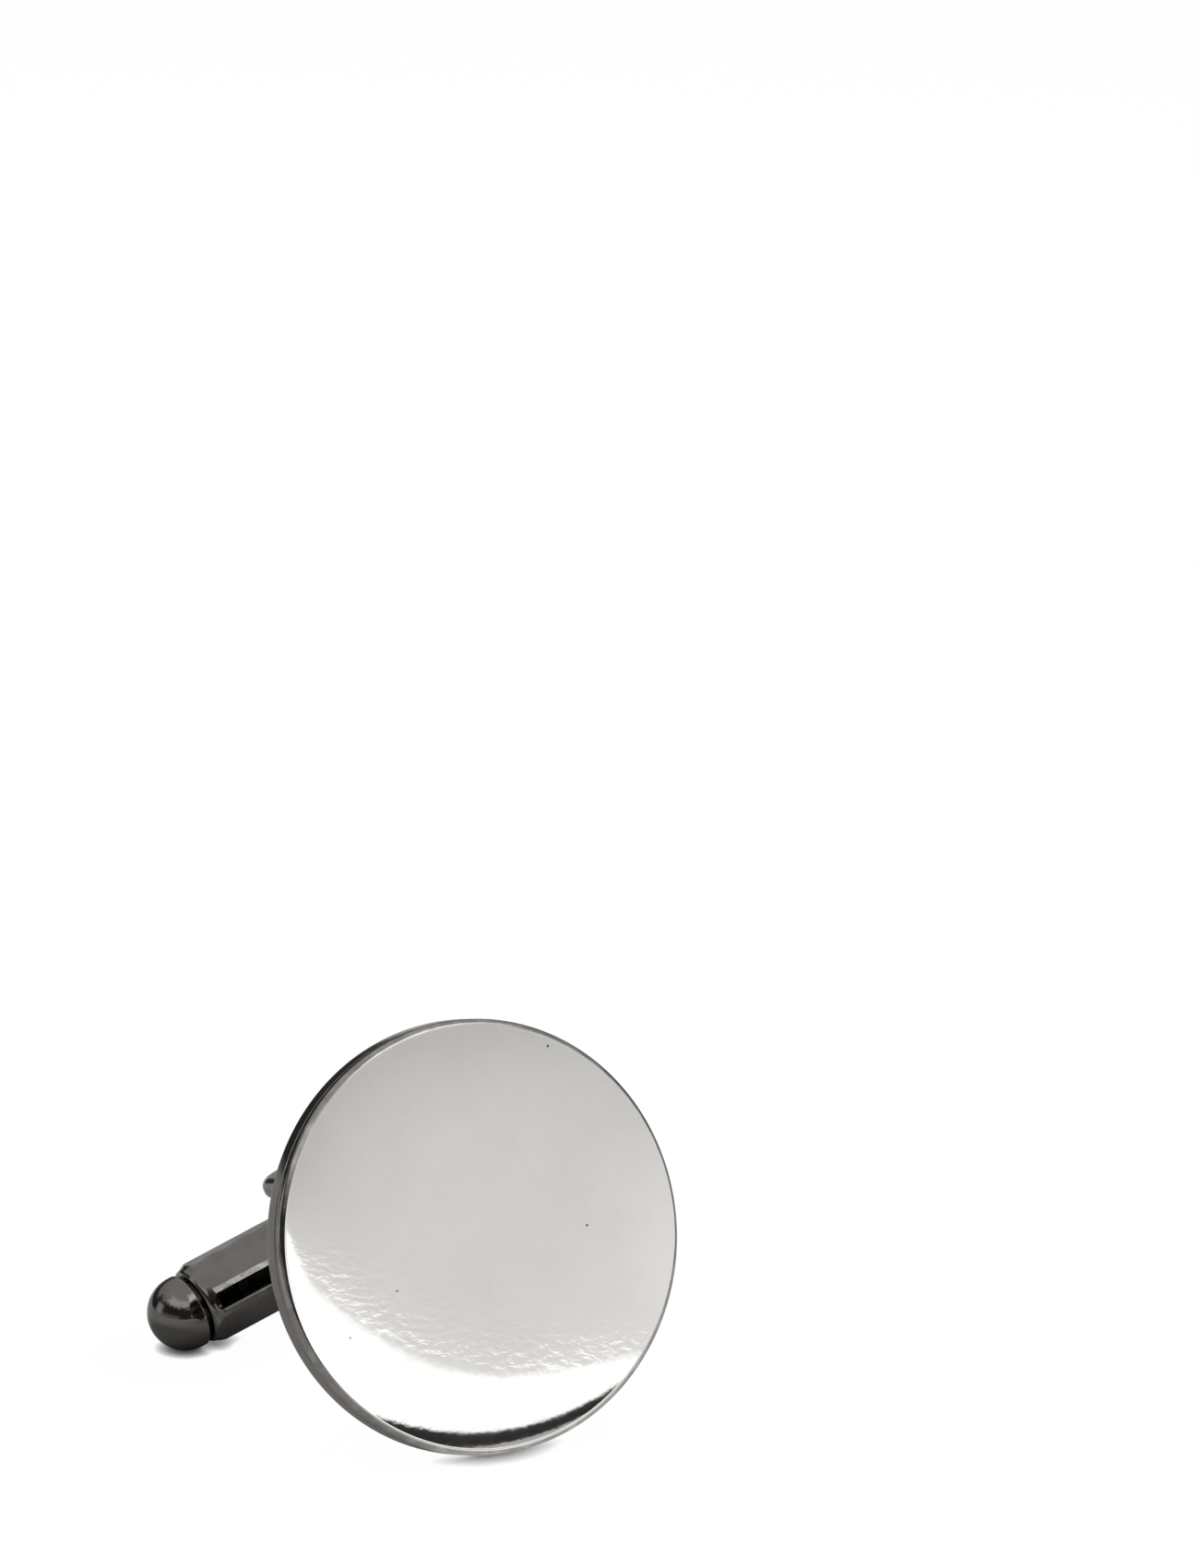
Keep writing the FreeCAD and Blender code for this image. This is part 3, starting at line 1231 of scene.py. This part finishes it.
    def _stadium(self, bm: BMesh, place: float, half: float) -> list[BMEdge]:
        """Draw a round-ended outline across the barrel.

        Args:
            bm: Mesh under construction.
            place: Place along the stem.
            half: Half the outline's width.

        Returns:
            The outline's edges.
        """
        reach = self.barrel_end - self.slot_end_wall - self.slot_half
        ends = ((reach, -90.0), (-reach, 90.0))
        points = [
            Vector((x + a, place, b)) for x, start in ends
            for a, b in arc((0.0, 0.0), half, start, start + 180.0, self.slot_steps)]
        return only(BMEdge, chain(bm, points, closed=True))

    def _cap(self, sign: float) -> BMesh:
        """Turn a domed cap with its shoulder, neck and spigot.

        Args:
            sign: Side of the toggle.

        Returns:
            The cap's mesh.
        """
        back = self.cap_centre - self.cap_shoulder
        spigot_end = self.barrel_end - self.spigot_length
        corner = (self.cap_radius - self.cap_edge_round, back + self.cap_edge_round)
        profile = [
            *arc((0.0, self.cap_centre), self.cap_radius, 90.0, 0.0, self.dome_steps),
            *arc(corner, self.cap_edge_round, 0.0, -90.0, self.shoulder_steps),
            (self.bore_radius, back), (self.bore_radius, spigot_end), (0.0, spigot_end)]
        bm = turned(flipped(profile, sign), X_AXIS, self.spans)
        mark_worn_where(bm, lambda c: back < abs(c.x) < back + self.cap_edge_round)
        shift(bm, Y_AXIS * self.pivot)
        return bm


# --- studio


@dataclass(frozen=True)
class Panel:
    """A soft-edged patch of the room around the table, in degrees.

    Its upper edge leans by the slope, and a second slanted line can cut its corner.
    """

    azimuth: Pair
    elevation: Pair
    radiance: float
    soft: float = 2.0
    slope: float = 0.0
    corner: Pair = (90.0, 0.0)
    ragged: float = 0.0


@dataclass(frozen=True)
class Room:
    """Plain studio room whose walls light the object and show in its metal."""

    horizon: float = 0.42
    zenith: float = 0.70
    sky: Pair = (0.0, 70.0)
    uneven_scale: float = 7.0
    uneven_detail: float = 3.0
    uneven: Span = (0.25, 0.75, -1.0, 1.0)
    panels: tuple[Panel, ...] = (
        Panel((-20.0, 85.0), (-6.0, 60.0), 0.56, soft=12.0),
        Panel((8.0, 85.0), (-6.0, 20.0), 0.85, soft=16.0),
        Panel((30.0, 85.0), (-6.0, 10.0), 0.93, soft=8.0),
        Panel((-6.0, 75.0), (-6.0, 21.6), 0.85, soft=4.5, slope=-0.375, corner=(26.9, -0.6)),
        Panel((-6.0, 75.0), (-6.0, 19.05), 0.92, soft=1.4, slope=-0.375, corner=(24.3, -0.6)),
        Panel((4.5, 12.3), (-6.0, 27.9), 1.35, soft=0.5, slope=-1.18),
        Panel((-6.0, 75.0), (-6.0, 18.25), 1.35, soft=0.5, slope=-0.375, corner=(23.45, -0.6)),
        Panel((-6.0, 75.0), (-6.0, 4.9), 0.03, soft=0.3, slope=-0.12),
        Panel((0.0, 70.0), (46.0, 70.0), 2.0, soft=5.0),
        Panel((-100.0, -5.0), (36.0, 56.0), 1.10, soft=6.0, ragged=4.0),
        Panel((-140.0, -3.0), (-6.0, 32.0), 0.05, soft=4.0, ragged=6.0),
        Panel((-120.0, -42.0), (-6.0, 8.0), 0.28, soft=4.0),
        Panel((-126.0, -102.0), (-6.0, 22.0), 0.75, soft=6.0),
        Panel((95.0, 200.0), (-6.0, 18.0), 0.05, soft=6.0),
        Panel((-200.0, -128.0), (-6.0, 18.0), 0.05, soft=6.0),
    )

    def build(self) -> None:
        """Paint the room into the world, with white for the camera."""
        world = bpy.data.worlds.new("studio_room")
        world.use_nodes = True
        bpy.context.scene.world = world
        shader = Shader(world.node_tree)
        direction = shader.add("ShaderNodeTexCoord").outputs["Generated"]
        parts = shader.parts(direction)
        front = shader.times(parts["Y"], -1.0)
        azimuth = shader.math("DEGREES", shader.math("ARCTAN2", parts["X"], front))
        elevation = shader.math("DEGREES", shader.math("ARCSINE", parts["Z"]))
        cloud = shader.noise(direction, self.uneven_scale, self.uneven_detail)
        uneven = shader.span(cloud, *self.uneven)
        light = shader.span(elevation, *self.sky, self.horizon, self.zenith)
        for panel in self.panels:
            light = self._over(shader, light, panel, azimuth, elevation, uneven)
        camera = shader.add("ShaderNodeLightPath").outputs["Is Camera Ray"]
        unseen = shader.times(light, shader.math("SUBTRACT", 1.0, camera))
        strength = shader.math("ADD", unseen, camera)
        background = shader.add(
            "ShaderNodeBackground", {"Color": (1.0, 1.0, 1.0, 1.0), "Strength": strength})
        shader.add("ShaderNodeOutputWorld", {"Surface": background.outputs[0]})

    @staticmethod
    def _over(
        shader: Shader, light: Any, panel: Panel, azimuth: Any, elevation: Any, uneven: Any
    ) -> NodeSocket:
        """Lay a panel over the light so far.

        Args:
            shader: World tree.
            light: Radiance so far.
            panel: Panel to lay over it.
            azimuth: Azimuth from the front.
            elevation: Elevation above the table.
            uneven: Irregular value around zero for ragged upper edges.

        Returns:
            The new radiance.
        """
        leaning = shader.math("MULTIPLY_ADD", azimuth, -panel.slope, elevation)
        leaning = shader.math("MULTIPLY_ADD", uneven, panel.ragged, leaning)
        cornered = shader.math("MULTIPLY_ADD", azimuth, -panel.corner[1], elevation)
        mask: Any = 1.0
        for value, edge, ends in (
            (azimuth, panel.azimuth[0], (0.0, 1.0)), (azimuth, panel.azimuth[1], (1.0, 0.0)),
            (elevation, panel.elevation[0], (0.0, 1.0)), (leaning, panel.elevation[1], (1.0, 0.0)),
            (cornered, panel.corner[0], (1.0, 0.0)),
        ):
            side = shader.span(value, edge - panel.soft, edge + panel.soft, *ends)
            mask = shader.times(mask, side)
        change = shader.math("SUBTRACT", panel.radiance, light)
        return shader.math("MULTIPLY_ADD", mask, change, light)


@dataclass(frozen=True)
class Floor:
    """Plain white table top that keeps the object's shadow.

    The camera sees it white, and so does metal just in front of the head, where the white is
    painted light that only glossy rays see. Elsewhere metal sees paint that fades to dark far
    away, with painted shade around a spot under the toggle.
    """

    half_size: float = 3.0
    near: float = 0.56
    far: float = 0.04
    fading: Pair = (0.12, 0.28)
    white_share: float = 0.93
    white: float = 1.05
    shadow_reach: float = 0.0005
    shadow_samples: int = 8
    shadow_depth: Pair = (0.5, 1.3)
    shadow_span: Pair = (-0.006, 0.004)
    shade: float = 0.5
    shade_place: Triple = (-0.0085, 0.0065, 0.0)
    shade_span: Pair = (0.002, 0.006)
    gloss_front: Pair = (-0.0105, -0.0085)
    gloss_far: Pair = (-0.024, -0.014)
    gloss_side: Pair = (-0.006, -0.002)

    def build(self) -> None:
        """Lay the table top under the object."""
        bm = bmesh.new()
        bmesh.ops.create_grid(bm, x_segments=1, y_segments=1, size=self.half_size)
        mesh = finished(bm, "table_top")
        mesh.materials.append(self._finish())
        table = add_object("table_top", mesh)

    def _finish(self) -> Material:
        """Mix plain paint with the white that the camera sees.

        Returns:
            The table's material.
        """
        material, shader = new_material("white_table")
        place = shader.add("ShaderNodeTexCoord").outputs["Object"]
        parts = shader.parts(place)
        reach = shader.add("ShaderNodeVectorMath", {0: place}, operation="LENGTH").outputs["Value"]
        # Painted shade: the paint darkens around a spot under the toggle, which the metal mirrors.
        from_shade = shader.add(
            "ShaderNodeVectorMath", {0: place, 1: self.shade_place}, operation="DISTANCE")
        shade = shader.span(from_shade.outputs["Value"], *self.shade_span, self.shade, 1.0)
        tone = shader.times(shader.span(reach, *self.fading, self.near, self.far), shade)
        paint = shader.add("ShaderNodeBsdfDiffuse", {"Color": tone})

        occlusion = shader.add(
            "ShaderNodeAmbientOcclusion", {"Distance": self.shadow_reach},
            samples=self.shadow_samples)
        depth = shader.span(parts["Y"], *self.shadow_span, *self.shadow_depth)
        shadow = shader.math("POWER", occlusion.outputs["AO"], depth)
        white = shader.add("ShaderNodeEmission", {"Color": shadow, "Strength": self.white})

        path = shader.add("ShaderNodeLightPath").outputs
        # Painted light: a patch in front of the head that only glossy rays see as glowing white.
        in_metal = shader.times(
            path["Is Glossy Ray"], shader.span(parts["Y"], *self.gloss_front, 1.0, 0.0),
            shader.span(parts["X"], *self.gloss_side), shader.span(parts["Y"], *self.gloss_far))
        shown = shader.math("MAXIMUM", path["Is Camera Ray"], in_metal)
        mixed = shader.add("ShaderNodeMixShader", {
            0: shader.times(shown, self.white_share), 1: paint.outputs[0], 2: white.outputs[0]})
        shader.add("ShaderNodeOutputMaterial", {"Surface": mixed.outputs[0]})
        return material


@dataclass(frozen=True)
class Lamp:
    """Square soft box."""

    name: str
    place: Triple
    size: float
    power: float
    in_metal: bool

    def build(self, target: Vector) -> None:
        """Hang the lamp and aim it.

        Args:
            target: Point it faces.
        """
        data = bpy.data.lights.new(self.name, "AREA")
        data.size = self.size
        data.energy = self.power
        lamp = add_object(self.name, data)
        lamp.location = self.place
        lamp.rotation_euler = (target - lamp.location).to_track_quat("-Z", "Y").to_euler()
        lamp.visible_glossy = self.in_metal


@dataclass(frozen=True)
class View:
    """Camera fitted to the reference view."""

    azimuth: float = -25.877
    elevation: float = 19.376
    roll: float = 0.353
    focal_px: float = 14662.0
    image_px: Pair = (1300.0, 1700.0)
    face_px: Pair = (521.37, 1341.30)
    px_per_mm: float = 25.605
    sensor: float = 36.0
    clip: Pair = (0.01, 50.0)

    def build(self, face_centre: Vector) -> None:
        """Set up the camera so that the face's centre falls on its place in the image.

        Args:
            face_centre: Centre of the face's edge plane in the row frame.
        """
        data = bpy.data.cameras.new("reference_camera")
        data.sensor_width = self.sensor
        data.lens = self.focal_px * self.sensor / max(self.image_px)
        data.clip_start, data.clip_end = self.clip
        camera = add_object("reference_camera", data)
        angles = (self.azimuth, self.elevation, self.roll)
        azimuth, elevation, roll = (math.radians(angle) for angle in angles)
        level = Euler((math.pi / 2 - elevation, 0.0, azimuth)).to_matrix()
        turn = level @ Matrix.Rotation(roll, 3, "Z")
        distance = self.focal_px / self.px_per_mm * MM
        aside = (self.face_px[0] - self.image_px[0] / 2) / self.focal_px
        above = (self.image_px[1] / 2 - self.face_px[1]) / self.focal_px
        place = face_centre - turn @ (Vector((aside, above, -1.0)) * distance)
        camera.matrix_world = Matrix.Translation(place) @ turn.to_4x4()
        bpy.context.scene.camera = camera


@dataclass(frozen=True)
class Studio:
    """Table, room, lamps and camera."""

    room: Room = field(default_factory=Room)
    floor: Floor = field(default_factory=Floor)
    view: View = field(default_factory=View)
    lamps: tuple[Lamp, ...] = (
        Lamp("key_box", place=(-0.25, 0.10, 0.75), size=0.5, power=1.6, in_metal=False),)

    def build(self, face_centre: Vector) -> None:
        """Set up the studio around the object.

        Args:
            face_centre: Centre of the face's edge plane in the row frame.
        """
        self.room.build()
        self.floor.build()
        for lamp in self.lamps:
            lamp.build(face_centre)
        self.view.build(face_centre)
        bpy.context.scene.view_settings.view_transform = "Standard"


# --- whole model


@dataclass(frozen=True)
class Cufflink:
    """The whole cufflink."""

    head: Head = field(default_factory=Head)
    stem: ForkedStem = field(default_factory=ForkedStem)
    pivot: Pivot = field(default_factory=Pivot)
    toggle: Toggle = field(default_factory=Toggle)

    def build(self, frame: dict[str, Any]) -> RestFrame:
        """Model and dress every sub-assembly.


        Returns:
            The rest frame of the model.
        """
        rest = RestFrame.from_frame(frame, self.pivot.pivot)
        finishes = Finishes.build(rest)
        self.head.build(rest, finishes, frame["nodes"])
        self.stem.build(rest, finishes)
        self.pivot.build(rest, finishes)
        self.toggle.build(rest, finishes, frame["nodes"])
        return rest


def main() -> None:
    """Build the scene."""
    logging.basicConfig(level=logging.INFO, format="%(name)s: %(message)s")
    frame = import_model()
    rest = Cufflink().build(frame)
    Studio().build(rest.origin)
    bpy.context.view_layer.update()


if __name__ == "__main__":
    main()
